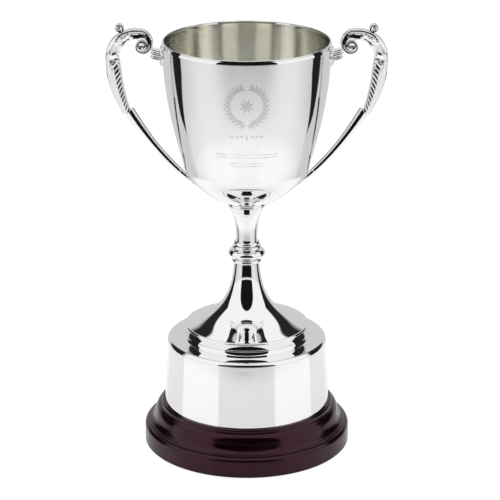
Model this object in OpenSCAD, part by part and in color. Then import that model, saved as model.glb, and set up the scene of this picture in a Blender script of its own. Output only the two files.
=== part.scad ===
// Two-handled presentation cup on a round plinth.
// The origin is at the middle of the underside, +Z is up, and +X runs through the handles.
// One long tie rod clamps the bowl, stem, foot and plinth into one rigid stack.

/* [Bowl] */
// Outside diameter across the rim wire
rim_d = 116.9; // [112:0.1:122]
// Height from the underside of the bowl to the top of the rim
bowl_h = 114.3; // [110:0.1:120]
// Thickness of the spun sheet
bowl_t = 1; // [0.8:0.1:1.6]
// Radius of the half-round wire soldered round the rim
rim_wire_r = 1.25; // [1:0.05:1.5]

/* [Stem and foot] */
// Height of the collar under the bowl
collar_h = 27; // [25:0.5:30]
// Radius of the collar where it carries the bowl
collar_r = 13.2; // [12.5:0.1:15]
// Radius of the narrow part of the stem
neck_r = 7.2; // [6.8:0.1:8]
// Height of the turned knop
knop_h = 20.5; // [20:0.5:23]
// Radius of the disc in the middle of the knop
knop_r = 12.8; // [12:0.1:15]
// Height of the foot with its ring
foot_h = 51.5; // [48:0.5:56]
// Radius of the rolled lip of the foot ring
foot_r = 43.3; // [41:0.1:46]
// Height of the foot ring
foot_ring_h = 9.8; // [9:0.1:12]
// Thickness of the spun foot
foot_t = 1.2; // [1:0.1:1.6]

/* [Plinth] */
// Height of the silver cap of the plinth
cap_h = 47.1; // [44:0.1:60]
// Radius of the cap just below its rounded top edge
cap_top_r = 55.9; // [54:0.1:57]
// Radius of the cap at its open lower end
cap_bottom_r = 58.2; // [57:0.1:58.6]
// Thickness of the sheet of the cap
cap_t = 1.2; // [1:0.1:2]
// Radius of the rounded top edge of the cap
cap_round = 2.8; // [2.2:0.1:4]
// Radius of the wooden base
base_r = 72.5; // [71.5:0.1:76]
// Height of the wooden base
base_h = 30.8; // [30:0.1:34]
// Height of the plain lower band of the wooden base
band_h = 14.2; // [12:0.1:15]

/* [Handles] */
// Reach of the back of the handle from the axis, at the middle of its bar
handle_reach = 90.3; // [88:0.1:94]
// Width of the handle at its gadrooned part, in the plane of the handle
handle_w = 11.4; // [9:0.1:12]
// Depth of the handle across its plane
handle_d = 9.6; // [8:0.1:12]
// Radius of the small thumb curl on the shoulder
curl_r = 3.4; // [2.5:0.1:4]

/* [Fixings] */
// Diameter of the threaded tie rod
rod_d = 6; // [5:0.5:6]
// Gap between the wood and the surface it stands on
felt_stand = 0.6; // [0.4:0.1:1]
// Thickness of the felt pad
felt_t = 1.4; // [1.2:0.1:2]
// Number of wood screws that hold the base to the core
screw_count = 3; // [3:1:4]

/* [Hidden] */
$fn = 96;

// Levels up the stack
base_z = felt_stand;
cap_z = base_z + base_h;
foot_z = cap_z + cap_h;
knop_z = foot_z + foot_h;
collar_z = knop_z + knop_h;
bowl_z = collar_z + collar_h;
rim_z = bowl_z + bowl_h;

// Clearances
slip = 0.05;
rod_r = rod_d / 2;
hole_r = rod_r + 0.3;

// Wall of the bowl: its seat for the rim wire, its widest point and the hip where it turns in
seat_r = rim_d / 2 - rim_wire_r;
seat_z = rim_z - 2 * rim_wire_r - 0.2;
wall_r = seat_r + 0.4;
hip_r = 0.746 * wall_r;
hip_z = bowl_z + 25.5;
bottom_r = 10;

// Boss under the bowl, which the top of the rod screws into
boss_r = 6.4;
boss_h = 12;
thread_depth = 9;

// Spigots that centre the knop in its neighbours
spigot_r = 4.6;
spigot_h = 2;

// Foot ring: band, cove and the ledge that the foot's edge lies on
ring_bead_r = 1.1;
ring_band_r = foot_r - 1.3;
ring_base_r = foot_r - 0.2;
ring_inner_r = foot_r - 2.9;
foot_edge_r = foot_r - 1.4;

// Bush and loading plate inside the foot
bush_r = 6.6;
bush_h = 10;
plate_t = 2;

// Mouldings of the wooden base
quirk_r = 1.5;
lip_round = 2.8;
step_r = 0.8;
arris = 0.8;

// Pocket for the washer and nut in the underside of the base
pocket_r = 14;
pocket_top_z = base_z + 14.4;
washer_r = 12;
washer_t = 1.6;
lock_t = 1.6;
nut_h = 5;
nut_across = 10;
rod_tail = 2;
nut_z = pocket_top_z - washer_t - lock_t - nut_h;

// Wood screws
screw_circle_r = 40;
screw_r = 2;
screw_head_r = 4;
screw_head_h = 2.6;
screw_len = 42;
screw_z = felt_t + 0.3;

// Felt pad, which lies in a shallow recess
felt_r = 66;

// Scroll at the top of the handle: its centre in the plane of the handle, and its spiral edge
scroll = [seat_r + 13.8, rim_z - 4.6];
scroll_eye_r = 3.2;
scroll_grow = 11;
scroll_start = 70;
scroll_end = 430;
scroll_fall = 100;
groove_w = 0.9;
groove_depth = 0.9;

// Thumb curl, ridged link and leaf plate of the handle
curl = [handle_reach - 4.4, rim_z + 9.6];
ridge_r = 1.7;
leaf_r = 8;
leaf_t = 1.3;

// ---- Curves ----

function bez(p, t) =
    pow(1 - t, 3) * p[0] + 3 * t * pow(1 - t, 2) * p[1] + 3 * t * t * (1 - t) * p[2] + t * t * t * p[3];

function bez_points(p, n, first = 0) = [for (i = [first:n]) bez(p, i / n)];

function arc_points(centre, r, from, to, n = 10) =
    [for (i = [0:n]) let (a = from + (to - from) * i / n) centre + r * [cos(a), sin(a)]];

function reverse(v) = [for (i = [len(v) - 1:-1:0]) v[i]];

// Wall of the bowl from the seat of the rim wire down to the axis, moved inwards by d
function bowl_wall(d) = concat(
    bez_points([[wall_r - d, seat_z - 0.4], [wall_r - 1.6 - d, rim_z - 50],
                [hip_r + 3.2 - d, hip_z + 15.7], [hip_r - d, hip_z]], 14),
    bez_points([[hip_r - d, hip_z], [hip_r - 1.6 - d, hip_z - 7.7],
                [2.2 * bottom_r, bowl_z + d], [bottom_r, bowl_z + d]], 12, 1),
    [[0, bowl_z + d]]);

// Trumpet of the foot from its neck down to its lip
trumpet = bez_points([[9.1, knop_z], [11.9, knop_z - 32], [28.3, foot_z + foot_ring_h + 5.8],
                      [foot_edge_r, foot_z + foot_ring_h]], 20);

// Bell of the collar from the bowl down to the neck
bell = bez_points([[collar_r - 0.2, bowl_z - 2.3], [collar_r - 3.2, bowl_z - 7.2],
                   [neck_r + 0.4, bowl_z - 11.5], [neck_r, collar_z + 1.5]], 14);

// Ogee of the wooden base, from under its quirk bead down to its step
quirk_c = [cap_bottom_r + 0.9, cap_z - quirk_r];
ogee_top = quirk_c + [1.9, -1.6];
ogee_foot = [base_r - 3.9, base_z + band_h + 1.8];
ogee = bez_points([ogee_top, ogee_top + [5.5, -1.8], ogee_foot + [-5.1, 1.9], ogee_foot], 16);

// Middle line of the handle, in its plane: plain shank, gadrooned bar, shoulder and arch
shank_top = [handle_reach - 11.3, rim_z - 50.3];
bar_top = [handle_reach, rim_z - 14.8];
shank_line = [[35, bowl_z + 12.9], [52, bowl_z + 28.5], shank_top - [11, 16.5], shank_top];
bar_line = [shank_top, shank_top + [6, 9], bar_top - [0.3, 15], bar_top];
arch_line = [bar_top, bar_top + [2.5, 10], scroll + [14, 9.8], scroll + [3.5, 9.6]];

// Outer edge of the scroll at the angle a, moved inwards by inset
function scroll_point(a, inset = 0) =
    scroll + (scroll_eye_r + scroll_grow * exp((scroll_start - a) / scroll_fall) - inset) * [cos(a), sin(a)];

// ---- Bowl ----

module bowl_filled() {
    rotate_extrude()
        polygon(concat([[0, rim_z - 4]], [[wall_r, rim_z - 4]], bowl_wall(0)));
}

module bowl() {
    color("gainsboro")
    rotate_extrude()
        polygon(concat(
            [[seat_r - bowl_t, rim_z - 0.2], [seat_r - 0.2, rim_z], [seat_r, rim_z - 0.2], [seat_r, seat_z]],
            bowl_wall(0),
            reverse(bowl_wall(bowl_t))));
}

module rim_wire() {
    color("whitesmoke")
    rotate_extrude()
        polygon(arc_points([seat_r, rim_z - rim_wire_r - 0.05], rim_wire_r, -90, 90, 14));
}

module bowl_boss() {
    color("goldenrod")
    difference() {
        translate([0, 0, bowl_z - boss_h])
            cylinder(r = boss_r, h = boss_h);
        translate([0, 0, bowl_z - boss_h - 1])
            cylinder(r = rod_r + slip, h = thread_depth + 1);
    }
}

// ---- Handles ----

// Bevelled bar along the curve p, whose width and depth run from start to end
module swept_bar(p, start, end, steps) {
    section = [[1, 0.5], [0.55, 1], [-0.55, 1], [-1, 0.5], [-1, -0.5], [-0.55, -1], [0.55, -1], [1, -0.5]];
    sides = len(section);
    rings = [for (i = [0:steps])
        let (t = i / steps,
             c = bez(p, t),
             ahead = bez(p, t + 0.01) - bez(p, t - 0.01),
             normal = [-ahead[1], ahead[0]] / norm(ahead),
             size = (start + (end - start) * t) / 2)
        for (s = section)
            [c[0] + normal[0] * s[0] * size[0], s[1] * size[1], c[1] + normal[1] * s[0] * size[0]]];
    side_faces = [for (i = [0:steps - 1], k = [0:sides - 1])
        [i * sides + k, i * sides + (k + 1) % sides,
         (i + 1) * sides + (k + 1) % sides, (i + 1) * sides + k]];
    first_cap = [for (k = [sides - 1:-1:0]) k];
    last_cap = [for (k = [0:sides - 1]) steps * sides + k];
    polyhedron(rings, concat([first_cap], side_faces, [last_cap]));
}

module scroll_disc() {
    rotate([90, 0, 0])
        linear_extrude(handle_d, center = true)
            polygon([for (a = [scroll_start:12:scroll_end]) scroll_point(a)]);
}

module scroll_groove() {
    angles = [for (a = [scroll_start:15:scroll_end - 20]) a];
    channel = concat([for (a = angles) scroll_point(a, 1.5)],
                     reverse([for (a = angles) scroll_point(a, 1.5 + groove_w)]));
    for (side = [-1, 1])
        translate([0, side * handle_d / 2, 0])
            rotate([90, 0, 0])
                linear_extrude(2 * groove_depth, center = true)
                    polygon(channel);
}

// Three ridges side by side, from the wall of the bowl to the scroll
module ridged_link() {
    for (k = [0:2])
        translate([wall_r - 1.5, 0, rim_z - 9 - 3 * k])
            rotate([0, 76 + 4 * k, 0])
                cylinder(r = ridge_r, h = 9 - 0.5 * k, $fn = 24);
}

module leaf_plate() {
    intersection() {
        rotate_extrude()
            polygon(concat([[0, rim_z - 4]], [for (p = bowl_wall(-leaf_t)) p]));
        translate([wall_r - 4, 0, rim_z - 12.5])
            rotate([0, 90, 0])
                cylinder(r = leaf_r, h = 10, $fn = 32);
    }
}

module thumb_curl() {
    translate([curl[0], 0, curl[1]])
        rotate([90, 0, 0])
            cylinder(r = curl_r, h = 0.8 * handle_d, center = true, $fn = 32);
    translate([curl[0] - 1, 0, curl[1] - 5])
        cylinder(r = 0.7 * curl_r, h = 5, $fn = 24);
}

module handle() {
    color("silver")
    difference() {
        union() {
            swept_bar(shank_line, [4.6, 4.6], [9, 6.8], 14);
            swept_bar(bar_line, [handle_w - 1.2, handle_d - 1.4], [handle_w, handle_d], 12);
            swept_bar(arch_line, [handle_w, handle_d], [9, handle_d], 12);
            scroll_disc();
            ridged_link();
            leaf_plate();
            thumb_curl();
        }
        scroll_groove();
        bowl_filled();
    }
}

module handle_right() {
    handle();
}

module handle_left() {
    mirror([1, 0, 0])
        handle();
}

// ---- Stem ----

module stem_collar() {
    color("whitesmoke")
    difference() {
        rotate_extrude()
            polygon(concat(
                [[0, bowl_z]],
                arc_points([collar_r - 1.2, bowl_z - 1.2], 1.2, 90, -60),
                bell,
                [[neck_r, collar_z], [0, collar_z]]));
        translate([0, 0, bowl_z - boss_h - 0.2])
            cylinder(r = boss_r + slip, h = boss_h + 1);
        translate([0, 0, collar_z - 1])
            cylinder(r = hole_r, h = collar_h);
        translate([0, 0, collar_z - 1])
            cylinder(r = spigot_r + slip, h = spigot_h + 1.1);
    }
}

// Beads and disc of the knop, each as its height above the lower end, its radius and its rounding
knop_beads = [[17.6, 9, 1.4], [14.9, 10, 1.1], [10.1, knop_r, 2.9], [4.9, 10.2, 1.5]];

module stem_knop() {
    color("silver")
    difference() {
        union() {
            translate([0, 0, knop_z])
                cylinder(r1 = 9.1, r2 = 7, h = knop_h);
            for (b = knop_beads)
                translate([0, 0, knop_z + b[0]])
                    rotate_extrude()
                        polygon(concat([[0, b[2]]], arc_points([b[1] - b[2], 0], b[2], 90, -90), [[0, -b[2]]]));
            translate([0, 0, knop_z - foot_t])
                cylinder(r = spigot_r, h = knop_h + foot_t + spigot_h);
        }
        translate([0, 0, knop_z - foot_t - 1])
            cylinder(r = hole_r, h = knop_h + foot_t + spigot_h + 2);
    }
}

// ---- Foot ----

module foot() {
    edge_z = foot_z + foot_ring_h - foot_t;
    outline = concat([[0, knop_z]], trumpet, [[foot_edge_r, edge_z], [0, edge_z]]);
    hollow = concat([[0, knop_z]], [for (p = trumpet) p - [foot_t, 0]], [[0, foot_z + foot_ring_h - 9]]);
    color("whitesmoke")
    difference() {
        rotate_extrude()
            polygon(outline);
        translate([0, 0, -foot_t])
            rotate_extrude()
                polygon(hollow);
        translate([0, 0, knop_z - foot_t - 1])
            cylinder(r = spigot_r + slip, h = foot_t + 2);
    }
}

module foot_ring() {
    color("silver")
    translate([0, 0, foot_z])
        rotate_extrude()
            polygon(concat(
                [[ring_inner_r, 0], [ring_inner_r, foot_ring_h - foot_t],
                 [foot_edge_r, foot_ring_h - foot_t], [foot_edge_r, foot_ring_h]],
                arc_points([foot_r - ring_bead_r, foot_ring_h - ring_bead_r], ring_bead_r, 90, -75),
                [[ring_band_r, 4.2]],
                bez_points([[ring_band_r, 4.2], [ring_band_r, 3], [ring_base_r - 0.6, 1.2],
                            [ring_base_r, 0.7]], 5, 1),
                [[ring_base_r, 0]]));
}

module foot_bush() {
    color("goldenrod")
    translate([0, 0, knop_z - foot_t - bush_h])
        difference() {
            cylinder(r = bush_r, h = bush_h);
            translate([0, 0, -1])
                cylinder(r = hole_r, h = bush_h + 2);
        }
}

module foot_plate() {
    color("slategray")
    translate([0, 0, foot_z])
        difference() {
            cylinder(r = ring_inner_r - slip, h = plate_t);
            translate([0, 0, -1])
                cylinder(r = hole_r, h = plate_t + 2);
        }
}

// ---- Plinth ----

module plinth_cap() {
    color("whitesmoke")
    rotate_extrude()
        polygon(concat(
            [[hole_r, foot_z]],
            arc_points([cap_top_r - cap_round, foot_z - cap_round], cap_round, 90, 0),
            [[cap_bottom_r, cap_z], [cap_bottom_r - cap_t, cap_z]],
            arc_points([cap_top_r - cap_round, foot_z - cap_round], cap_round - cap_t, 0, 90),
            [[hole_r, foot_z - cap_t]]));
}

module plinth_core() {
    gap = cap_t + 0.2;
    color("burlywood")
    difference() {
        rotate_extrude()
            polygon([[hole_r, cap_z], [cap_bottom_r - gap, cap_z], [cap_top_r - gap, foot_z - cap_round],
                     [cap_top_r - cap_round - 0.2, foot_z - cap_t], [hole_r, foot_z - cap_t]]);
        at_screws(cap_z - 1)
            cylinder(r = screw_r + slip, h = screw_len);
    }
}

module plinth_base() {
    band_z = base_z + band_h;
    color("#46262f")
    difference() {
        rotate_extrude()
            polygon(concat(
                [[hole_r, cap_z]],
                arc_points(quirk_c, quirk_r, 90, -15),
                ogee,
                arc_points(ogee_foot - [0, step_r], step_r, 90, 0, 6),
                [ogee_foot + [step_r, band_z - ogee_foot[1] + 0.1]],
                arc_points([base_r - lip_round, band_z - lip_round], lip_round, 90, 0),
                [[base_r, base_z + arris], [base_r - arris, base_z],
                 [felt_r + 0.3, base_z], [felt_r + 0.3, felt_t],
                 [pocket_r, felt_t], [pocket_r, pocket_top_z], [hole_r, pocket_top_z]]));
        at_screws(0)
            cylinder(r = screw_r + 0.2, h = cap_z + 1);
        at_screws(screw_z - 1)
            cylinder(r = screw_head_r + 0.1, h = 1);
        at_screws(screw_z)
            cylinder(r1 = screw_head_r + 0.1, r2 = screw_r + 0.1, h = screw_head_h);
    }
}

// ---- Fixings ----

module at_screws(z) {
    for (i = [0:screw_count - 1])
        rotate(90 + 360 * i / screw_count)
            translate([screw_circle_r, 0, z])
                children();
}

module base_screws() {
    color("darkgoldenrod")
    at_screws(screw_z)
        difference() {
            union() {
                cylinder(r1 = screw_head_r, r2 = screw_r, h = screw_head_h);
                cylinder(r = screw_r, h = screw_len - 5);
                translate([0, 0, screw_len - 5])
                    cylinder(r1 = screw_r, r2 = 0.4, h = 5);
            }
            for (turn = [0, 90])
                rotate(turn)
                    translate([0, 0, 0.5])
                        cube([4.4, 0.9, 1.4], center = true);
        }
}

module tie_rod() {
    z = nut_z - rod_tail;
    color("darkgray")
    translate([0, 0, z])
        cylinder(r = rod_r, h = bowl_z - boss_h + thread_depth - 1 - z);
}

module rod_washer() {
    color("lightslategray")
    translate([0, 0, pocket_top_z - washer_t])
        difference() {
            cylinder(r = washer_r, h = washer_t);
            translate([0, 0, -1])
                cylinder(r = rod_r + 0.2, h = washer_t + 2);
        }
}

module lock_washer() {
    color("lightslategray")
    translate([0, 0, nut_z + nut_h])
        difference() {
            cylinder(r = rod_r + 2.6, h = lock_t);
            translate([0, 0, -1])
                cylinder(r = rod_r + 0.2, h = lock_t + 2);
            translate([0, -0.5, -1])
                cube([rod_r + 4, 1, lock_t + 2]);
        }
}

module rod_nut() {
    color("darkgray")
    translate([0, 0, nut_z])
        difference() {
            cylinder(r = nut_across / 2 / cos(30), h = nut_h, $fn = 6);
            translate([0, 0, -1])
                cylinder(r = rod_r + slip, h = nut_h + 2);
        }
}

module felt_pad() {
    color("darkgreen")
    cylinder(r = felt_r, h = felt_t);
}

bowl();
rim_wire();
bowl_boss();
handle_right();
handle_left();
stem_collar();
stem_knop();
foot();
foot_ring();
foot_bush();
foot_plate();
plinth_cap();
plinth_core();
plinth_base();
base_screws();
tie_rod();
rod_washer();
lock_washer();
rod_nut();
felt_pad();
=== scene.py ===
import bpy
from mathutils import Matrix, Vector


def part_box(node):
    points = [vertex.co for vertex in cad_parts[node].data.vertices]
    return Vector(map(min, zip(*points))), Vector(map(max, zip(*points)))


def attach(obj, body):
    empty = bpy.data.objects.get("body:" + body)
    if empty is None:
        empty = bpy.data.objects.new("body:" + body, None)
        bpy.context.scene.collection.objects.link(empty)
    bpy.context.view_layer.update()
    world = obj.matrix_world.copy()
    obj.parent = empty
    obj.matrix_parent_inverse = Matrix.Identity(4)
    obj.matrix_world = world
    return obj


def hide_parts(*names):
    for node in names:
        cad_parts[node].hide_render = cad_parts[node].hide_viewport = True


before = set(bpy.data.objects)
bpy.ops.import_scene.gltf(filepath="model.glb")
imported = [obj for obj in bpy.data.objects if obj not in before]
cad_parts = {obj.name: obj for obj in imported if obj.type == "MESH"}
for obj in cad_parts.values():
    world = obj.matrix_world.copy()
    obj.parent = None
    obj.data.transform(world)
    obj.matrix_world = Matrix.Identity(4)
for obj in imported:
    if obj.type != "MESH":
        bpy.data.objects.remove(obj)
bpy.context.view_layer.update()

# The polished cup, its cast handles and its lacquered plinth, built in millimetres around the CAD frame.
import math

import bmesh
import bpy
import numpy as np
from mathutils import Vector

MM = 0.001
TURN_STEPS = 240
SHARP_ANGLE = math.radians(38)


# ---- Measures, in millimetres, taken from the CAD nodes ----

def reach(node):
    """How far a CAD node reaches from the axis: the largest radius of a turned one."""
    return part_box(node)[1].x / MM


def top(node):
    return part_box(node)[1].z / MM


def bottom(node):
    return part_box(node)[0].z / MM


rim_z = top("bowl")
rim_wire_r = 1.25
seat_r = reach("rim_wire") - rim_wire_r
bowl_z = top("stem_collar")
bowl_t = 1.0
collar_z = bottom("stem_collar")
collar_r = reach("stem_collar")
knop_z = top("foot")
knop_h = collar_z - knop_z
knop_r = reach("stem_knop")
foot_z = bottom("foot_ring")
foot_ring_h = top("foot_ring") - foot_z
foot_r = reach("foot_ring")
cap_z = bottom("plinth_cap")
cap_bottom_r = reach("plinth_cap")
base_r = reach("plinth_base")
base_z = bottom("plinth_base")


# ---- Curves ----

def polar(r, degrees):
    return r * np.array([math.cos(math.radians(degrees)), math.sin(math.radians(degrees))])


def arc(centre, r, start, end, steps=12):
    """Points of an arc, from the start angle to the end angle in degrees."""
    return [np.array(centre) + polar(r, start + (end - start) * i / steps) for i in range(steps + 1)]


def bez(controls, t):
    """Point at t on the Bezier curve of four control points."""
    a, b, c, d = [np.array(control, float) for control in controls]
    return (1 - t) ** 3 * a + 3 * t * (1 - t) ** 2 * b + 3 * t * t * (1 - t) * c + t ** 3 * d


def bez_points(controls, steps, first=0):
    return [bez(controls, i / steps) for i in range(first, steps + 1)]


def smooth_line(points, steps):
    """A rounded line through points, with steps stations for each of them."""
    points = [np.array(p, float) for p in points]
    ends = [2 * points[0] - points[1]] + points + [2 * points[-1] - points[-2]]
    line = []
    for i in range(len(points) - 1):
        a, b, c, d = ends[i:i + 4]
        for t in (k / steps for k in range(steps)):
            line.append(0.5 * (2 * b + (c - a) * t + (2 * a - 5 * b + 4 * c - d) * t * t
                               + (3 * b - a - 3 * c + d) * t ** 3))
    return line + [points[-1]]


# ---- Meshes ----

def link_object(name, data):
    made = bpy.data.objects.new(name, data)
    bpy.context.scene.collection.objects.link(made)
    return made


def outward_mesh(name, verts, faces, cut_caps=False):
    """A mesh whose faces look outwards; cut_caps cuts those with more than four corners into triangles."""
    mesh = bpy.data.meshes.new(name)
    mesh.from_pydata([Vector(v) for v in verts], [], faces)
    bm = bmesh.new()
    bm.from_mesh(mesh)
    bmesh.ops.recalc_face_normals(bm, faces=bm.faces)
    if cut_caps:
        bmesh.ops.triangulate(bm, faces=[face for face in bm.faces if len(face.verts) > 4])
    bm.to_mesh(mesh)
    bm.free()
    return mesh


def new_piece(name, verts, faces, replaces=()):
    """A smooth-shaded mesh object from points in millimetres, riding on the one body."""
    mesh = outward_mesh(name, [Vector(v) * MM for v in verts], faces)
    mesh.shade_smooth()
    mesh.set_sharp_from_angle(angle=SHARP_ANGLE)
    piece = link_object(name, mesh)
    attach(piece, "root")
    if replaces:
        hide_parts(*replaces)
    return piece


def lathe(name, outline, replaces):
    """Turns an outline of (radius, height) about Z. An outline that starts on the axis ends there too."""
    on_axis = outline[0][0] < 1e-6
    turns = [2 * math.pi * k / TURN_STEPS for k in range(TURN_STEPS)]
    rings, verts, faces = [], [], []
    for r, z in outline:
        if r < 1e-6:
            rings.append([len(verts)] * TURN_STEPS)
            verts.append((0, 0, z))
        else:
            rings.append(list(range(len(verts), len(verts) + TURN_STEPS)))
            verts += [(r * math.cos(a), r * math.sin(a), z) for a in turns]
    pairs = list(zip(rings, rings[1:]))
    if not on_axis:
        pairs.append((rings[-1], rings[0]))
    for lower, upper in pairs:
        for k in range(TURN_STEPS):
            after = (k + 1) % TURN_STEPS
            # at the axis two of the four corners are one point
            face = list(dict.fromkeys([lower[k], lower[after], upper[after], upper[k]]))
            if len(face) > 2:
                faces.append(face)
    return new_piece(name, verts, faces, replaces)


# ---- Bowl ----

# The rim's seat, the wall just under it, the hip where the wall turns in, and the flat middle of the floor
seat_z = rim_z - 2 * rim_wire_r - 0.2
wall_r = seat_r + 0.4
hip_r = 0.746 * wall_r
hip_z = bowl_z + 25.5
floor_r = 10


def bowl_wall(d):
    """Wall of the bowl from the rim's seat down to the axis, moved inwards by d."""
    side = bez_points([[wall_r - d, seat_z - 0.4], [wall_r - 1.6 - d, rim_z - 50],
                       [hip_r + 3.2 - d, hip_z + 15.7], [hip_r - d, hip_z]], 70)
    under = bez_points([[hip_r - d, hip_z], [hip_r - 1.6 - d, hip_z - 7.7],
                        [2.2 * floor_r, bowl_z + d], [floor_r, bowl_z + d]], 44, 1)
    return side + under + [np.array([0, bowl_z + d])]


bowl_lip = [[seat_r - bowl_t, rim_z - 0.2], [seat_r - 0.2, rim_z], [seat_r, rim_z - 0.2], [seat_r, seat_z]]
bowl_inside = [[0, bowl_z + bowl_t]] + bowl_wall(bowl_t)[-2::-1]
bowl = lathe("bowl_shell", bowl_inside + bowl_lip + bowl_wall(0), ["bowl"])

# Rolled rim: a band that leans inwards to a thin round lip
lip_r = 0.45
rim_band = bez_points([[wall_r + 0.05, seat_z - 0.4], [wall_r, seat_z + 0.4], [wall_r - 0.3, rim_z - 1.1],
                       [wall_r - 0.75, rim_z - 0.5]], 12)
rim_lip = arc([seat_r - 0.5, rim_z - lip_r], lip_r, 20, 160, 10)
rim = lathe("rim_bead", rim_band + rim_lip + [[seat_r - 0.9, seat_z], [seat_r, seat_z]],
            ["rim_wire"])

# ---- Stem ----

neck_r = collar_r - 6
collar_bead_r = 1.2
collar_bead = arc([collar_r - collar_bead_r, bowl_z - collar_bead_r], collar_bead_r, 90, -60, 14)
bell = bez_points([[collar_r - 0.2, bowl_z - 2.3], [collar_r - 3.2, bowl_z - 7.2],
                   [neck_r + 0.4, bowl_z - 11.5], [neck_r, collar_z + 1.5]], 40)
collar = lathe("collar_turned", [[0, bowl_z]] + collar_bead + bell + [[neck_r, collar_z], [0, collar_z]],
               ["stem_collar"])

# Beads of the knop, from the top: height over the foot, radius, and radius of the bead's round edge
KNOP_BEADS = [(17.6, 9, 1.4), (14.9, 10, 1.1), (10.1, knop_r, 2.9), (4.9, 10.2, 1.5)]
KNOP_CORE_FOOT_R = 9.1
KNOP_CORE_TOP_R = 7.0


def knop_core(h):
    """Radius between the beads, h above the foot."""
    return KNOP_CORE_FOOT_R + (KNOP_CORE_TOP_R - KNOP_CORE_FOOT_R) * h / knop_h


knop_outline = [[0, knop_z + knop_h], [knop_core(knop_h), knop_z + knop_h]]
for h, r, bead in KNOP_BEADS:
    knop_outline.append([knop_core(h + bead), knop_z + h + bead])
    knop_outline += arc([r - bead, knop_z + h], bead, 90, -90, 16)
    knop_outline.append([knop_core(h - bead), knop_z + h - bead])
knop_outline += [[knop_core(0), knop_z], [0, knop_z]]
knop = lathe("knop_turned", knop_outline, ["stem_knop"])

# ---- Foot ----

foot_t = 1.2
foot_bore_r = 4.7
foot_edge_r = foot_r - 1.4
foot_edge_z = foot_z + foot_ring_h
flare_r = 28.3
trumpet = bez_points([[KNOP_CORE_FOOT_R, knop_z], [KNOP_CORE_FOOT_R + 2.8, knop_z - 32],
                      [flare_r, foot_edge_z + 5.8], [foot_edge_r, foot_edge_z]], 90)
foot_under = [p - [foot_t, foot_t] for p in trumpet[::-1]]
foot = lathe("foot_spun", trumpet + [[foot_edge_r, foot_edge_z - foot_t]] + foot_under
             + [[foot_bore_r, knop_z - foot_t], [foot_bore_r, knop_z]], ["foot"])

# Ring at the foot's edge: rolled lip, band and cove
ring_bead_r = 1.1
ring_band_r = foot_r - 1.3
ring_base_r = foot_r - 0.2
ring_inner_r = foot_r - 2.9
ring_seat = [[ring_inner_r, foot_z], [ring_inner_r, foot_edge_z - foot_t],
             [foot_edge_r, foot_edge_z - foot_t], [foot_edge_r, foot_edge_z]]
ring_lip = arc([foot_r - ring_bead_r, foot_edge_z - ring_bead_r], ring_bead_r, 90, -75, 14)
ring_cove = bez_points([[ring_band_r, foot_z + 4.2], [ring_band_r, foot_z + 3],
                        [ring_base_r - 0.6, foot_z + 1.2], [ring_base_r, foot_z + 0.7]], 10)
ring = lathe("foot_ring_turned",
             ring_seat + ring_lip + [[ring_band_r, foot_z + 6]] + ring_cove + [[ring_base_r, foot_z]],
             ["foot_ring"])

# ---- Plinth ----

cap_t = 1.2
cap_bore_r = 3.3
cap_top_r = cap_bottom_r - 2.3
cap_round = 2.8
cap_side_z = foot_z - cap_round
cap_round_centre = [cap_top_r - cap_round, cap_side_z]
cap_top = [[r, foot_z] for r in (cap_bore_r, 20, 40)]
cap_side = [[cap_top_r + (cap_bottom_r - cap_top_r) * k / 12, cap_side_z + (cap_z - cap_side_z) * k / 12]
            for k in range(1, 13)]
cap = lathe("plinth_drum",
            cap_top + arc(cap_round_centre, cap_round, 90, 0, 20) + cap_side
            + [[cap_bottom_r - cap_t, cap_z]] + arc(cap_round_centre, cap_round - cap_t, 0, 90, 10)
            + [[cap_bore_r, foot_z - cap_t]], ["plinth_cap"])

# Mahogany base, from the top: a quirk round the drum, an ogee, a small step, and a slab with a round edge
quirk_r = 1.5
quirk_centre = np.array([cap_bottom_r + 0.9, cap_z - quirk_r])
ogee_top = quirk_centre + [1.9, -1.6]
ogee_foot = np.array([base_r - 3.9, base_z + 16])
step_r = 0.8
slab_z = ogee_foot[1] - 1.8
slab_round = 2.8
arris = 0.8
felt_r = reach("felt_pad") + 0.3
felt_z = top("felt_pad")
pocket_r = 14
pocket_z = felt_z + 13.6
rod_hole_r = 3.3
ogee = bez_points([ogee_top, ogee_top + [5.5, -1.8], ogee_foot + [-5.1, 1.9], ogee_foot], 40)
wood = lathe("plinth_moulding",
             [[rod_hole_r, cap_z]] + arc(quirk_centre, quirk_r, 90, -15, 16) + ogee
             + arc(ogee_foot - [0, step_r], step_r, 90, 0, 8) + [[ogee_foot[0] + step_r, slab_z + 0.1]]
             + arc([base_r - slab_round, slab_z - slab_round], slab_round, 90, 0, 14)
             + [[base_r, base_z + arris], [base_r - arris, base_z], [felt_r, base_z], [felt_r, felt_z],
                [pocket_r, felt_z], [pocket_r, pocket_z], [rod_hole_r, pocket_z]],
             ["plinth_base"])

# ---- Engraving ----

WALL_LINE = np.array(bowl_wall(0))[::-1]
CUT_PROUD = 0.06
CUT_SUNK = 0.2
# Shares of a leaf's length and of half its width, round its edge
LEAF_SHAPE = [(0, 0.12), (.2, .7), (.45, 1), (.7, .75), (1, 0), (.7, -.75), (.45, -1), (.2, -.7), (0, -0.12)]
engraving_verts, engraving_faces = [], []


def on_wall(across, z, lift):
    """Point on the front of the bowl, across millimetres round from the middle and lift off the wall."""
    r = np.interp(z, WALL_LINE[:, 1], WALL_LINE[:, 0]) + lift
    return (r * math.sin(across / wall_r), -r * math.cos(across / wall_r), z)


def engrave(outline):
    """A closed plate that follows the wall inside an outline of (across, z)."""
    base, n = len(engraving_verts), len(outline)
    for lift in (CUT_PROUD, -CUT_SUNK):
        engraving_verts.extend(on_wall(x, z, lift) for x, z in outline)
    engraving_faces.append(tuple(range(base, base + n)))
    engraving_faces.append(tuple(base + n + k for k in reversed(range(n))))
    for k in range(n):
        a, b = base + k, base + (k + 1) % n
        engraving_faces.append((b, a, a + n, b + n))


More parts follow.
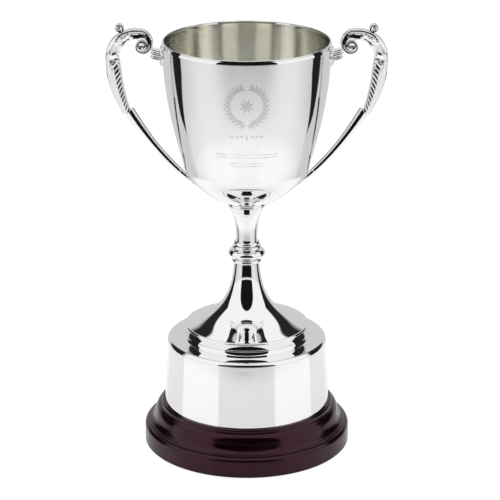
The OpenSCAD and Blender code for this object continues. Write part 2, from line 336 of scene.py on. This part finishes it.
def leaf_outline(x, z, angle, long, wide):
    """Pointed leaf that starts at (x, z) and points along angle, in degrees."""
    c, s = polar(1, angle)
    half = wide / 2
    return [(x + c * t * long - s * w * half, z + s * t * long + c * w * half) for t, w in LEAF_SHAPE]


def rule_outline(half_width, z, thick):
    """Level rule, centred, whose ends come to a point."""
    steps = np.linspace(-half_width, half_width, int(half_width))
    upper = [(x, z + thick / 2) for x in steps[1:-1]]
    lower = [(x, z - thick / 2) for x in steps[-2:0:-1]]
    return [(-half_width, z)] + upper + [(half_width, z)] + lower


# Laurel wreath, open at the top, round a rosette of eight leaves
wreath_z = rim_z - 31
wreath_r = 13.2
for side in (-1, 1):
    for k in range(13):
        angle = -82 + 12.4 * k
        x, z = polar(wreath_r, angle) + [0, wreath_z]
        for lean, long in [(-34, 4.8), (34, 4.8), (4, 4.0)]:
            points = leaf_outline(x, z, angle + 90 + lean, long, 1.5)
            engrave([(side * px, pz) for px, pz in points][::side])
for k in range(8):
    engrave(leaf_outline(0, wreath_z, 45 * k + 22.5, 5.4, 1.9))

# Two leaves for the wreath's knot, and a row of six leaves about an upright one
for side in (-1, 1):
    engrave(leaf_outline(side * 0.6, wreath_z - wreath_r, -90 + side * 48, 5.0, 1.2))
    for k in range(3):
        engrave(leaf_outline(side * (2.2 + 3.6 * k), rim_z - 53.5, 90 - side * 68, 3.4, 1.3))
engrave(leaf_outline(0, rim_z - 56, 90, 4.6, 1.5))

# Two pairs of rules, as half width and drop from the rim
for half_width, drop in [(25.5, 66.3), (25.5, 68.6), (14.8, 72.8), (14.8, 75.0)]:
    engrave(rule_outline(half_width, rim_z - drop, 0.75))
engraving = new_piece("engraved_wreath", engraving_verts, engraving_faces)

# ---- Handles ----

# A cast section is sampled across the band, from its outer edge (1) to its inner edge (-1)
ACROSS = np.concatenate([np.linspace(1, 0.9, 6), np.linspace(0.86, -0.86, 44), np.linspace(-0.9, -1, 6)])


def section(*keys):
    """Half depths in millimetres across the band, from keys of (place across, half depth)."""
    places, depths = zip(*sorted(keys))
    return np.interp(ACROSS, places, depths)


SHANK = section((1, .8), (.96, 1.3), (.6, 2.0), (.16, 2.75), (.1, 2.78), (-.55, 2.05), (-.82, 1.2),
                (-.92, 1.1), (-1, .5))
BAR = section((1, .9), (.88, 1.75), (.6, 2.65), (.3, 3.35), (0, 3.95), (-.15, 4.0), (-.8, 3.6), (-.95, 2.8),
              (-1, 1.4))
SHOULDER = section((1, 1.2), (.9, 2.65), (.66, 3.5), (.42, 3.9), (.38, 3.91), (-.62, 2.7), (-.78, 3.1),
                   (-.92, 2.85), (-1, 1.2))
FLANGE = [(1, .3), (.985, 1.1), (.95, 1.8), (.9, 2.3), (.84, 2.6), (.78, 2.75), (.56, 3.05), (.53, 3.0),
          (.48, 2.5)]
ARCH = section(*FLANGE, (.1, 2.3), (-.55, 1.9), (-.74, 2.3), (-.92, 2.1), (-1, 1.0))
UNDER = section(*FLANGE, (.15, 2.4), (-.1, 2.5), (-.7, 3.4), (-.84, 3.3), (-.95, 2.6), (-1, 1.2))
COIL = section(*FLANGE, (0, 2.5), (-.3, 2.6), (-.7, 2.6), (-.9, 2.4), (-1, 1.5))
CURL = section((1, 2.4), (.9, 2.9), (.6, 3.1), (-.6, 3.1), (-.9, 2.9), (-1, 2.4))


def blend(t, keys):
    """The section at t, blended between keys of (t, section)."""
    for (t0, a), (t1, b) in zip(keys, keys[1:]):
        if t <= t1:
            share = min(max((t - t0) / (t1 - t0), 0), 1)
            return (1 - share) * a + share * b
    return keys[-1][1]


def headings(line):
    """Unit vectors along a line of points."""
    ahead = np.gradient(line, axis=0)
    return ahead / np.linalg.norm(ahead, axis=1)[:, None]


class Casting:
    """Closed shells in millimetres that overlap, and are joined into one solid at the end."""

    def __init__(self):
        self.shells = []

    def tube(self, rings):
        """A shell through rings of points, closed by a flat cap at each end."""
        n = len(rings[0])
        verts = [v for ring in rings for v in ring]
        faces = [(i * n + k, i * n + (k + 1) % n, (i + 1) * n + (k + 1) % n, (i + 1) * n + k)
                 for i in range(len(rings) - 1) for k in range(n)]
        last = (len(rings) - 1) * n
        faces.append(tuple(reversed(range(n))))
        faces.append(tuple(range(last, last + n)))
        self.shells.append((verts, faces))

    def band(self, line, half_width, sections, relief=None):
        """A cast band along a line in the plane of the handle; relief adds to its half depth at (x, z)."""
        line = np.array(line, float)
        ahead = headings(line)
        out = np.stack([ahead[:, 1], -ahead[:, 0]], axis=1)
        places = line[:, None] + out[:, None] * (ACROSS[None] * np.array(half_width)[:, None])[:, :, None]
        depths = np.array(sections)
        if relief is not None:
            depths = depths + relief(places, np.broadcast_to(ACROSS, places.shape[:-1]))
        rings = []
        for row, depth in zip(places, depths):
            front = [(x, -y, z) for (x, z), y in zip(row, depth)]
            rings.append(front + [(x, -y, z) for x, y, z in reversed(front)])
        self.tube(rings)

    def turned(self, centre, outline, sides=40):
        """Bosses on the front and the back, turned about Y; outline is (radius, distance from Y = 0)."""
        turns = [2 * math.pi * k / sides for k in range(sides)]
        for side in (-1, 1):
            self.tube([[(centre[0] + r * math.cos(a), side * y, centre[1] + r * math.sin(a)) for a in turns]
                       for r, y in outline])

    def ellipsoid(self, centre, half, tilt=0.0, rows=14, sides=24):
        """An ellipsoid whose long axis lies in the plane of the handle, tilt degrees from +Z towards +X."""
        c, s = polar(1, tilt)
        rings = []
        for i in range(1, rows):
            a = math.pi * i / rows
            along = -half[2] * math.cos(a)
            ring = []
            for k in range(sides):
                b = 2 * math.pi * k / sides
                across = half[0] * math.sin(a) * math.cos(b)
                depth = half[1] * math.sin(a) * math.sin(b)
                ring.append((centre[0] + across * c + along * s, centre[1] + depth,
                             centre[2] - across * s + along * c))
            rings.append(ring)
        self.tube(rings)

    def fuse(self):
        """One solid of all the shells, as vertices in millimetres and faces."""
        shells = [link_object("shell", outward_mesh("shell", verts, faces, cut_caps=True))
                  for verts, faces in self.shells]
        first, *others = shells
        for other in others:
            union = first.modifiers.new("union", "BOOLEAN")
            union.operation = "UNION"
            union.solver = "MANIFOLD"
            union.object = other
        joined = first.evaluated_get(bpy.context.evaluated_depsgraph_get()).to_mesh()
        verts = [tuple(v.co) for v in joined.vertices]
        faces = [tuple(p.vertices) for p in joined.polygons]
        for shell in shells:
            mesh = shell.data
            bpy.data.objects.remove(shell)
            bpy.data.meshes.remove(mesh)
        return verts, faces


def fade(x, start, end):
    """0 at start and 1 at end, eased between them."""
    t = np.clip((x - start) / (end - start), 0, 1)
    return t * t * (3 - 2 * t)


def nearest_on(line, places):
    """Distance of each place to a line, its side (+ is the right) and its run, and the line's length."""
    best = np.full(places.shape[:-1], 1e9)
    side = np.zeros_like(best)
    run_at = np.zeros_like(best)
    run = 0.0
    for a, b in zip(line, line[1:]):
        step = b - a
        length = np.linalg.norm(step)
        share = np.clip(((places - a) @ step) / length ** 2, 0, 1)
        away = places - (a + share[..., None] * step)
        distance = np.linalg.norm(away, axis=-1)
        right = np.sign(away[..., 0] * step[1] - away[..., 1] * step[0])
        closer = distance < best
        best = np.where(closer, distance, best)
        side = np.where(closer, right, side)
        run_at = np.where(closer, run + share * length, run_at)
        run += length
    return best, side, run_at, run


def leaf_edge(points, rise, slope, tail):
    """Relief of an overlapping leaf: right of a line it rises over slope millimetres and falls over tail."""
    line = np.array(smooth_line(points, 4))

    def relief(places):
        distance, side, run, length = nearest_on(line, places)
        inside = distance * side
        up = np.clip(inside / slope, 0, 1)
        down = np.clip(1 - (inside - slope) / tail, 0, 1)
        ends = np.clip(np.minimum(run, length - run) / 0.6 + 0.35, 0, 1)
        return rise * up * down * ends * (side > 0)
    return relief


# Ribs along the bar: where they start, their first pitch, its growth from each to the next, their steepness,
# how far they lean along the bar for each millimetre across it, at its foot and at its top, and their number
RIB_START = 2.6
RIB_PITCH = 2.75
RIB_GROWTH = 0.035
RIB_STEEP = math.radians(38)
RIB_LEAN = [1.1, 1.0]
RIB_COUNT = 12


def bar_relief(line):
    """Gadroons that lean across the inner half of the bar, each a little wider than the one below it."""
    line = np.array(line)
    heading = headings(line)
    run = np.concatenate([[0], np.cumsum(np.linalg.norm(np.diff(line, axis=0), axis=1))])

    def relief(places, across):
        flat = places.reshape(-1, 2)
        nearest = np.argmin(((flat[:, None] - line[None]) ** 2).sum(-1), axis=1)
        away = flat - line[nearest]
        along = heading[nearest]
        s = run[nearest] + (away * along).sum(1)
        v = away[:, 0] * along[:, 1] - away[:, 1] * along[:, 0]
        lean = np.interp(s, [0, run[-1]], RIB_LEAN)
        place = np.maximum(s + lean * (v + 2) - RIB_START, 0)
        index = (np.sqrt(1 + 2 * RIB_GROWTH * place / RIB_PITCH) - 1) / RIB_GROWTH
        pitch = RIB_PITCH * (1 + RIB_GROWTH * index) / np.sqrt(1 + lean ** 2)
        off = (index - np.floor(index) - 0.5) * pitch
        radius = pitch / 2 / math.sin(RIB_STEEP)
        rib = np.sqrt(np.maximum(radius ** 2 - off ** 2, 0)) - radius * math.cos(RIB_STEEP)
        n = across.reshape(-1)
        window = fade(n, -1.0, -0.86) * fade(n, 0.14, -0.12) * fade(index, RIB_COUNT + 0.1, RIB_COUNT - 0.1)
        return (rib * window * (place > 0)).reshape(places.shape[:-1])
    return relief


def at(out, up):
    """(x, z) of a point in the plane of the handle, out from the bowl's wall and up from its rim."""
    return np.array([wall_r + out, rim_z + up])


# Middle lines of the shank, the bar and the arch, and the centre of the volute
shank_foot = np.array([wall_r - 22.2, bowl_z + 13.8])
shank_top = at(22.6, -49.0)
bar_foot = shank_top + [1.4, -1.2]
bar_top = at(33.0, -14.8)
scroll = at(13.4, -4.4)
shank_line = [shank_foot, shank_foot + [15.8, 9.6], shank_top - [10, 16.8], shank_top]
bar_line = [bar_foot, bar_foot + [4.4, 9.4], bar_top - [0.7, 14], bar_top]
arch_line = [bar_top, bar_top + [2.1, 9.8], scroll + [14, 8.9], scroll + [3.5, 8.9]]

# Turns, in degrees, at which the arch becomes the volute and at which the volute begins to close on its eye
SPIRAL_START = 72
SPIRAL_CLOSE = 400


def spiral_width(turn):
    """Width of the volute's band."""
    return 1.6 + 5.8 * math.exp((SPIRAL_START - turn) / 110)


def spiral_point(turn):
    """Middle of the volute's band: its outer edge shrinks from the arch, then closes on the eye."""
    shrink = math.exp(-((turn - SPIRAL_START) / 105) ** 1.5)
    close = max(0.0, (turn - SPIRAL_CLOSE) / 140) ** 1.25
    edge_r = 4.2 + 8.7 * shrink - 1.9 * close
    return scroll + polar(edge_r - spiral_width(turn) / 2, turn)


def shoulder_leaves():
    """Reliefs of the leaves that lie over the shoulder."""
    return [
        # pointed leaf that lies along the shoulder: its lower edge and its tip
        leaf_edge([at(22.6, 5.3), at(25.0, 3.4), at(27.2, 1.4)], rise=0.6, slope=1.0, tail=2),
        leaf_edge([at(26.8, 1.3), at(30.2, 0.8)], rise=0.8, slope=1.2, tail=2),
        # scalloped edge, half way down the shoulder
        leaf_edge([at(30.6, -7.5), at(33.3, -8.3), at(34.0, -7.6), at(35.2, -6.6)],
                  rise=0.8, slope=1.25, tail=3),
        # round end of the leaf, above the ribs
        leaf_edge([at(29.4, -12.8), at(30.8, -11.5), at(32.6, -13.6), at(33.9, -15.0), at(35.0, -16.8)],
                  rise=0.55, slope=0.85, tail=3),
    ]


def cast_bar(cast):
    """Bar, shoulder, arch and volute in one band."""
    t = np.linspace(0, 1, 130)
    turns = np.arange(SPIRAL_START + 2, 470, 2.5)
    bar = [bez(bar_line, s) for s in t]
    line = bar + [bez(arch_line, s) for s in t[1:]] + [spiral_point(a) for a in turns]

    # half widths along the bar, the arch and the volute
    half_width = list(np.interp(t, [0, .1, .2, .4, .6, .8, 1], [2.9, 3.1, 3.4, 4.1, 4.65, 5.2, 4.9]))
    half_width += list(np.interp(t[1:], [0, .2, .4, .6, .8, 1], [4.9, 4.5, 4.5, 4.3, 3.9, 3.7]))
    half_width += [spiral_width(a) / 2 for a in turns]

    # sections along the bar and the arch, and round the volute
    bar_keys = [(0, BAR * .85), (.3, BAR), (.82, BAR), (1, SHOULDER)]
    arch_keys = [(0, SHOULDER), (.5, SHOULDER * 1.15), (.66, ARCH), (.82, ARCH), (.92, UNDER)]
    volute_keys = [(84, UNDER), (116, COIL), (300, COIL * .9)]
    sections = [blend(s, bar_keys) for s in t] + [blend(s, arch_keys) for s in t[1:]]
    sections += [blend(a, volute_keys) for a in turns]

    ribs = bar_relief(bar)
    leaves = shoulder_leaves()

    def relief(places, across):
        low = places[..., 1] < bar_top[1] + 1.5
        return np.where(low, ribs(places, across), 0) + sum(leaf(places) for leaf in leaves)

    cast.band(line, half_width, sections, relief)


def cast_shank(cast):
    """Plain shank, with a ridge down each face and a round end on the bowl."""
    t = np.linspace(0, 1, 110)
    half_width = np.interp(t, [0, .12, .35, .6, .85, 1], [1.2, 1.9, 2.45, 2.75, 3.5, 3.75])
    scale = np.interp(t, [0, .2, .5, 1], [.55, .72, .88, 1.2])
    cast.band([bez(shank_line, s) for s in t], half_width, [SHANK * k for k in scale])
    x, z = shank_foot + [0.6, -0.2]
    cast.ellipsoid((x, 0, z), (1.5, 1.8, 2.1), 55)


def cast_eye(cast):
    """Coiled middle of the volute, and its eye."""
    cast.turned(scroll + [0.0, 0.9], [(0.2, 3.2), (1.1, 3.25), (2.1, 3.6), (2.4, 3.65), (3.3, 3.35),
                                      (3.55, 2.6), (3.55, 0.5)])
    cast.turned(scroll + [-0.5, -0.9], [(0.2, 4.0), (0.5, 3.9), (0.8, 3.5), (0.9, 2.0)], 20)


def cast_curl(cast):
    """Thumb curl on the shoulder, rolled outwards on a short stalk."""
    centre = at(28.5, 8.3)
    count = 50
    radii = np.linspace(3.0, 1.6, count)
    roll = [centre + polar(r, turn) for r, turn in zip(radii, np.linspace(235, -100, count))]
    cast.band(roll, np.linspace(0.8, 0.6, count), [CURL * k for k in np.linspace(1, .85, count)])
    cast.turned(centre, [(0.2, 2.8), (0.6, 2.7), (0.9, 2.3), (0.9, 1.0)], 16)
    stalk = smooth_line([at(27.0, 3.5), at(27.3, 5.6), at(28.4, 6.6)], 8)
    cast.band(stalk, [1.6] * 9 + [1.3] * 8, [CURL * .8] * len(stalk))


def cast_link(cast):
    """Link to the bowl with three ridges down each face, and the leaf plate at its foot."""
    tilt = -17
    for k in range(3):
        x, z = at(3.8, -7.0 - 2.8 * k)
        for side in (-1, 1):
            cast.ellipsoid((x, side * 1.3, z), (4.1, 1.5, 1.3), tilt)
    x, z = at(3.4, -9.8)
    cast.ellipsoid((x, 0, z), (3.8, 1.3, 3.4), tilt)
    # each leaf of the plate: its place round the wall, its drop from the rim, and half its width and height
    for y, drop, wide, tall in [(0, 9.5, 4.6, 5.8), (4.0, 11.5, 2.9, 3.8), (-4.0, 11.5, 2.9, 3.8),
                                (0, 15.0, 2.6, 3.4)]:
        x, z = at(0.25 - abs(y) / 8, -drop)
        cast.ellipsoid((x, y, z), (1.2, wide, tall), 2)


casting = Casting()
for part in (cast_bar, cast_shank, cast_eye, cast_curl, cast_link):
    part(casting)
handle_verts, handle_faces = casting.fuse()
handle_right = new_piece("handle_cast_right", handle_verts, handle_faces, ["handle_right"])
handle_left = new_piece("handle_cast_left", [(-x, y, z) for x, y, z in handle_verts],
                        [face[::-1] for face in handle_faces], ["handle_left"])

# ---- Shader nodes ----

class Nodes:
    """Writes a shader as expressions: each call adds one node and returns its output socket."""

    def __init__(self, tree):
        self.tree = tree
        self.tree.nodes.clear()

    def add(self, kind, inputs=None, output=0, **settings):
        node = self.tree.nodes.new("ShaderNode" + kind)
        for key, value in settings.items():
            setattr(node, key, value)
        for key, value in (inputs or {}).items():
            if isinstance(value, bpy.types.NodeSocket):
                self.tree.links.new(value, node.inputs[key])
            else:
                node.inputs[key].default_value = value
        return node.outputs[output]

    def math(self, operation, a, b=0.0, c=0.0):
        return self.add("Math", {0: a, 1: b, 2: c}, operation=operation)

    def product(self, first, *others):
        for other in others:
            first = self.math("MULTIPLY", first, other)
        return first

    def ramp(self, value, start, end, low=0.0, high=1.0, smooth=True):
        """low at start and high at end, blended between them; a start that is a number may be above end."""
        kind = "SMOOTHSTEP" if smooth else "LINEAR"
        if not isinstance(start, bpy.types.NodeSocket) and start > end:
            start, end, low, high = end, start, high, low
        return self.add("MapRange", {0: value, 1: start, 2: end, 3: low, 4: high}, interpolation_type=kind)

    def mix(self, factor, a, b):
        return self.add("Mix", {0: factor, 2: a, 3: b}, data_type="FLOAT")

    def tint(self, factor, a, b):
        """A colour between a and b, each given as (red, green, blue) or as a socket."""
        a, b = [c if isinstance(c, bpy.types.NodeSocket) else (*c, 1) for c in (a, b)]
        return self.add("Mix", {0: factor, 6: a, 7: b}, 2, data_type="RGBA")

    def place(self, scale=None):
        """Where a point is on its piece, stretched by scale."""
        here = self.add("TexCoord", output="Object")
        return here if scale is None else self.add("Mapping", {"Vector": here, "Scale": scale})

    def noise(self, place, scale, detail, **inputs):
        return self.add("TexNoise", {"Vector": place, "Scale": scale, "Detail": detail, **inputs})

    def split(self, vector):
        """X, Y and Z of a vector."""
        node = self.tree.nodes.new("ShaderNodeSeparateXYZ")
        self.tree.links.new(vector, node.inputs[0])
        return node.outputs

    def bump(self, height, strength, distance):
        return self.add("Bump", {"Height": height, "Strength": strength, "Distance": distance})

    def ray(self, kind):
        """1 on rays of a kind, such as Camera, and 0 on others."""
        return self.add("LightPath", output="Is " + kind + " Ray")

    def finish(self, shader, output="Material"):
        node = self.tree.nodes.new("ShaderNodeOutput" + output)
        self.tree.links.new(shader, node.inputs["Surface"])


# ---- Materials ----

def material(name):
    made = bpy.data.materials.new(name)
    made.use_nodes = True
    return made, Nodes(made.node_tree)


def polished_silver(name):
    """Mirror-polished plate, with a faint haze of fine wear."""
    made, n = material(name)
    haze = n.noise(n.place(), 60.0, 4.0)
    n.finish(n.add("BsdfPrincipled", {
        "Base Color": n.tint(n.ramp(haze, 0.35, 0.7), (0.93, 0.93, 0.925), (0.915, 0.917, 0.915)),
        "Metallic": 1.0,
        "Roughness": n.ramp(haze, 0.3, 0.7, 0.02, 0.05)}))
    return made


def satin_silver():
    """Spun inside of the bowl, left satin: it blurs along its height, and fine lines run round it."""
    made, n = material("silver_satin")
    height = n.split(n.place())[2]
    lines = n.noise(n.add("CombineXYZ", {0: 0.0, 1: 0.0, 2: height}), 900.0, 2.0)
    n.finish(n.add("BsdfPrincipled", {
        "Base Color": n.tint(lines, (0.95, 0.945, 0.87), (0.985, 0.98, 0.92)),
        "Metallic": 1.0,
        "Roughness": n.ramp(lines, 0.3, 0.7, 0.16, 0.2),
        "Anisotropic": 0.95,
        "Anisotropic Rotation": 0.25,
        "Tangent": n.add("Tangent", direction_type="RADIAL", axis="Z")}))
    return made


def frosted_silver():
    """Engraved cuts, which scatter the light."""
    made, n = material("silver_engraved")
    grain = n.noise(n.place(), 2500.0, 2.0)
    n.finish(n.add("BsdfPrincipled", {
        "Base Color": n.tint(grain, (0.70, 0.70, 0.69), (0.84, 0.84, 0.83)),
        "Metallic": 1.0,
        "Roughness": 0.32,
        "Normal": n.bump(grain, 0.25, 0.0002)}))
    return made


def lacquered_mahogany():
    """Dark stained mahogany under gloss lacquer, its grain running from side to side."""
    made, n = material("mahogany_lacquered")
    grain = n.noise(n.place((6.0, 60.0, 90.0)), 5.0, 6.0, Roughness=0.65, Distortion=0.4)
    pores = n.noise(n.place((60.0, 900.0, 900.0)), 4.0, 2.0)
    stain = n.tint(n.ramp(grain, 0.35, 0.68), (0.002, 0.0008, 0.0009), (0.012, 0.0026, 0.0036))
    n.finish(n.add("BsdfPrincipled", {
        "Base Color": n.tint(n.ramp(pores, 0.62, 0.72), stain, (0.006, 0.002, 0.003)),
        "Roughness": n.ramp(grain, 0.3, 0.7, 0.12, 0.18),
        "IOR": 1.52,
        "Specular Tint": (1.0, 0.46, 0.57, 1),
        "Normal": n.bump(grain, 0.02, 0.001)}))
    return made


def turned_metal(name, low, high, roughness):
    """Bare turned metal: rings of tool marks round Z and a little mottling."""
    made, n = material(name)
    x, y, z = n.split(n.place())
    out = n.math("SQRT", n.math("ADD", n.product(x, x), n.product(y, y)))
    marks = n.noise(n.add("CombineXYZ", {0: out, 1: 0.0, 2: z}), 1800.0, 2.0)
    mottle = n.noise(n.place(), 130.0, 5.0)
    n.finish(n.add("BsdfPrincipled", {
        "Base Color": n.tint(mottle, low, high),
        "Metallic": 1.0,
        "Roughness": n.ramp(mottle, 0.3, 0.7, roughness, roughness + 0.12),
        "Normal": n.bump(marks, 0.2, 0.0002)}))
    return made


def bare_softwood():
    """Unfinished pale wood, with its grain running from side to side."""
    made, n = material("softwood_bare")
    grain = n.noise(n.place((8.0, 70.0, 70.0)), 4.0, 6.0, Distortion=0.6)
    n.finish(n.add("BsdfPrincipled", {
        "Base Color": n.tint(n.ramp(grain, 0.35, 0.7), (0.52, 0.33, 0.17), (0.66, 0.47, 0.28)),
        "Roughness": 0.62,
        "Normal": n.bump(grain, 0.2, 0.0005)}))
    return made


def pressed_felt():
    """Green felt: short fibres, and patches where they lie flatter."""
    made, n = material("felt_green")
    fibre = n.noise(n.place(), 1400.0, 6.0, Roughness=0.7)
    cloud = n.noise(n.place(), 90.0, 3.0)
    lightness = n.product(n.ramp(fibre, 0.3, 0.7), n.ramp(cloud, 0.2, 0.8, 0.6, 1.0))
    n.finish(n.add("BsdfPrincipled", {
        "Base Color": n.tint(lightness, (0.018, 0.065, 0.032), (0.06, 0.16, 0.09)),
        "Roughness": 0.95,
        "Sheen Weight": 0.35,
        "Sheen Roughness": 0.6,
        "Normal": n.bump(fibre, 0.5, 0.0004)}))
    return made


def dress(piece, *finishes):
    piece.data.materials.clear()
    for finish in finishes:
        piece.data.materials.append(finish)


spun_silver = polished_silver("silver_polished")
for piece in (rim, collar, knop, foot, ring, cap):
    dress(piece, spun_silver)

# The bowl's first faces are its inside, up to the lip
dress(bowl, spun_silver, satin_silver())
for face in bowl.data.polygons[:len(bowl_wall(bowl_t)) * TURN_STEPS]:
    face.material_index = 1

cast_silver = polished_silver("silver_cast_polished")
for piece in (handle_right, handle_left):
    dress(piece, cast_silver)
dress(engraving, frosted_silver())
dress(wood, lacquered_mahogany())

brass = turned_metal("brass_bare", (0.56, 0.38, 0.13), (0.70, 0.50, 0.21), 0.28)
zinc = turned_metal("steel_zinc_plated", (0.52, 0.53, 0.55), (0.66, 0.67, 0.70), 0.24)
CAD_FINISHES = {
    brass: ["bowl_boss", "foot_bush", "base_screws"],
    zinc: ["foot_plate", "tie_rod", "rod_washer", "lock_washer", "rod_nut"],
    bare_softwood(): ["plinth_core"],
    pressed_felt(): ["felt_pad"],
}
for finish, nodes in CAD_FINISHES.items():
    for node in nodes:
        dress(bpy.data.objects[node], finish)

# ---- Stage, camera and light ----

CAMERA_PLACE = (0, -1.4518, 0.6528)
CAMERA_DOWN = 19.395
camera = bpy.data.cameras.new("camera")
camera.lens = 158.9
camera.sensor_width = 36
camera.shift_x = 0.0065
camera_object = link_object("camera", camera)
camera_object.location = CAMERA_PLACE
camera_object.rotation_euler = (math.radians(90 - CAMERA_DOWN), 0, 0)
bpy.context.scene.camera = camera_object

# The light comes from the world: turn is a direction's angle from the camera's side, and rise its height, in
# degrees. The opening reaches WINDOW_HALF to each side of the camera, and the side gaps begin at GAP_START.
WINDOW_HALF = 41
GAP_START = 101.5


def camera_opening(n, turn, rise):
    """1 in the dark opening round the camera: a tall arch, and the dark edge of the table under it."""
    across = n.math("POWER", n.math("DIVIDE", turn, WINDOW_HALF), 2.0)
    along = n.math("POWER", n.math("DIVIDE", n.math("SUBTRACT", rise, 5.0), 50.0), 2.0)
    arch = n.product(n.ramp(n.math("ADD", across, along), 1.03, 0.97), n.ramp(rise, -1.6, -0.6))
    edge_foot = n.math("MULTIPLY_ADD", across, 2.8, -16.6)
    edge = n.product(n.ramp(turn, WINDOW_HALF + 1, WINDOW_HALF - 1), n.ramp(rise, -3.0, -4.0),
                     n.ramp(n.math("SUBTRACT", rise, edge_foot), -0.3, 0.3))
    return n.math("MAXIMUM", arch, edge)


def floor_light(n, turn, rise):
    """Light from below: it dims away from the cup, more so at the sides and in the shade at the front."""
    level = n.ramp(rise, -56.0, -16.0, 0.96, 0.81, smooth=False)
    side_loss = n.product(n.ramp(turn, 70.0, 104.0, smooth=False), n.ramp(rise, -34.0, -22.0, 0.1, 0.26))
    shade = n.product(n.ramp(rise, -40.0, -14.0, 0.0, 0.42, smooth=False), n.ramp(turn, 54.0, 20.0))
    return n.product(level, n.math("SUBTRACT", 1.0, side_loss), n.math("SUBTRACT", 1.0, shade))


def side_gap(n, turn, rise):
    """1 in the gap at each side, under a roof that rises towards the back; and the light in it.

    The front of the gap is dark. Its back is dark above a rising sill, and has a grey backdrop below it.
    """
    roof = n.math("MULTIPLY_ADD", turn, 0.36, -6.0)
    sill = n.math("MULTIPLY_ADD", turn, 1.36, -176.0)
    front = n.ramp(rise, -30.0, -19.5, GAP_START + 12, GAP_START, smooth=False)
    back = n.ramp(rise, -31.0, -25.0, GAP_START + 12, GAP_START + 18)
    gap = n.product(n.ramp(n.math("SUBTRACT", turn, front), -1.0, 1.0),
                    n.ramp(n.math("SUBTRACT", roof, rise), -1.5, 1.5), n.ramp(rise, -36.0, -30.0))
    grey = n.ramp(n.math("SUBTRACT", rise, sill), 0.0, -10.0, 0.02, 0.64, smooth=False)
    level = n.mix(n.ramp(n.math("SUBTRACT", turn, back), -1.0, 1.0), 0.015, grey)
    return gap, level


def tent_light():
    """White tent with a dark opening round the camera and a gap at each side, behind the cup."""
    world = bpy.data.worlds.new("tent")
    world.use_nodes = True
    n = Nodes(world.node_tree)
    east, north, up = n.split(n.add("TexCoord", output="Generated"))
    turn = n.math("ARCTAN2", east, n.product(north, -1.0))
    turn = n.product(n.math("ABSOLUTE", turn), 180 / math.pi)
    rise = n.product(n.math("ARCSINE", up), 180 / math.pi)

    level = n.mix(n.ramp(rise, -1.0, -4.0), 0.97, floor_light(n, turn, rise))
    level = n.mix(camera_opening(n, turn, rise), level, 0.008)
    gap, gap_level = side_gap(n, turn, rise)
    level = n.mix(gap, level, gap_level)

    # Plain light for matt surfaces, and a plain white background
    level = n.mix(n.ray("Diffuse"), level, 0.45)
    level = n.mix(n.ray("Camera"), level, 1.05)
    n.finish(n.add("Background", {"Color": (1, 1, 1, 1), "Strength": level}), "World")
    return world


bpy.context.scene.world = tent_light()
bpy.context.scene.view_settings.view_transform = "Standard"


def white_table():
    """Glossy white to the pieces, except in the distance; flat white to the camera; unseen from below."""
    surface, n = material("white_table")
    clear = n.add("BsdfTransparent")
    glossy = n.add("BsdfPrincipled", {"Base Color": (0.92, 0.92, 0.92, 1), "Roughness": 0.06})
    flat = n.add("AddShader", {0: n.add("BsdfDiffuse", {"Color": (0.12, 0.12, 0.12, 1)}),
                               1: n.add("Emission", {"Color": (1, 1, 1, 1), "Strength": 0.94})})
    away = n.add("VectorMath", {0: n.place()}, 1, operation="LENGTH")
    distant = n.product(n.ray("Glossy"), n.ramp(away, 0.25, 0.35))
    upper = n.add("MixShader", {0: distant, 1: glossy, 2: clear})
    upper = n.add("MixShader", {0: n.ray("Camera"), 1: upper, 2: flat})
    below = n.add("NewGeometry", output="Backfacing")
    n.finish(n.add("MixShader", {0: below, 1: upper, 2: clear}))
    return surface


# The table lies a little under the felt, so that the two don't share a plane
TABLE_HALF = (0.42, 0.35)
TABLE_Z = -0.0002
corners = [(x * TABLE_HALF[0], y * TABLE_HALF[1], TABLE_Z) for x, y in [(-1, -1), (1, -1), (1, 1), (-1, 1)]]
table_mesh = bpy.data.meshes.new("table_top")
table_mesh.from_pydata(corners, [], [(0, 1, 2, 3)])
table_mesh.materials.append(white_table())
table = link_object("table_top", table_mesh)
# Matt surfaces don't see the table, so the felt isn't black in views from below
table.visible_diffuse = False

softbox = bpy.data.lights.new("softbox", "AREA")
softbox.shape = "DISK"
softbox.size = 1.6
softbox.energy = 22
softbox_object = link_object("softbox", softbox)
softbox_object.location = (0, 0.1, 1.6)
softbox_object.visible_glossy = False
softbox_object.visible_camera = False
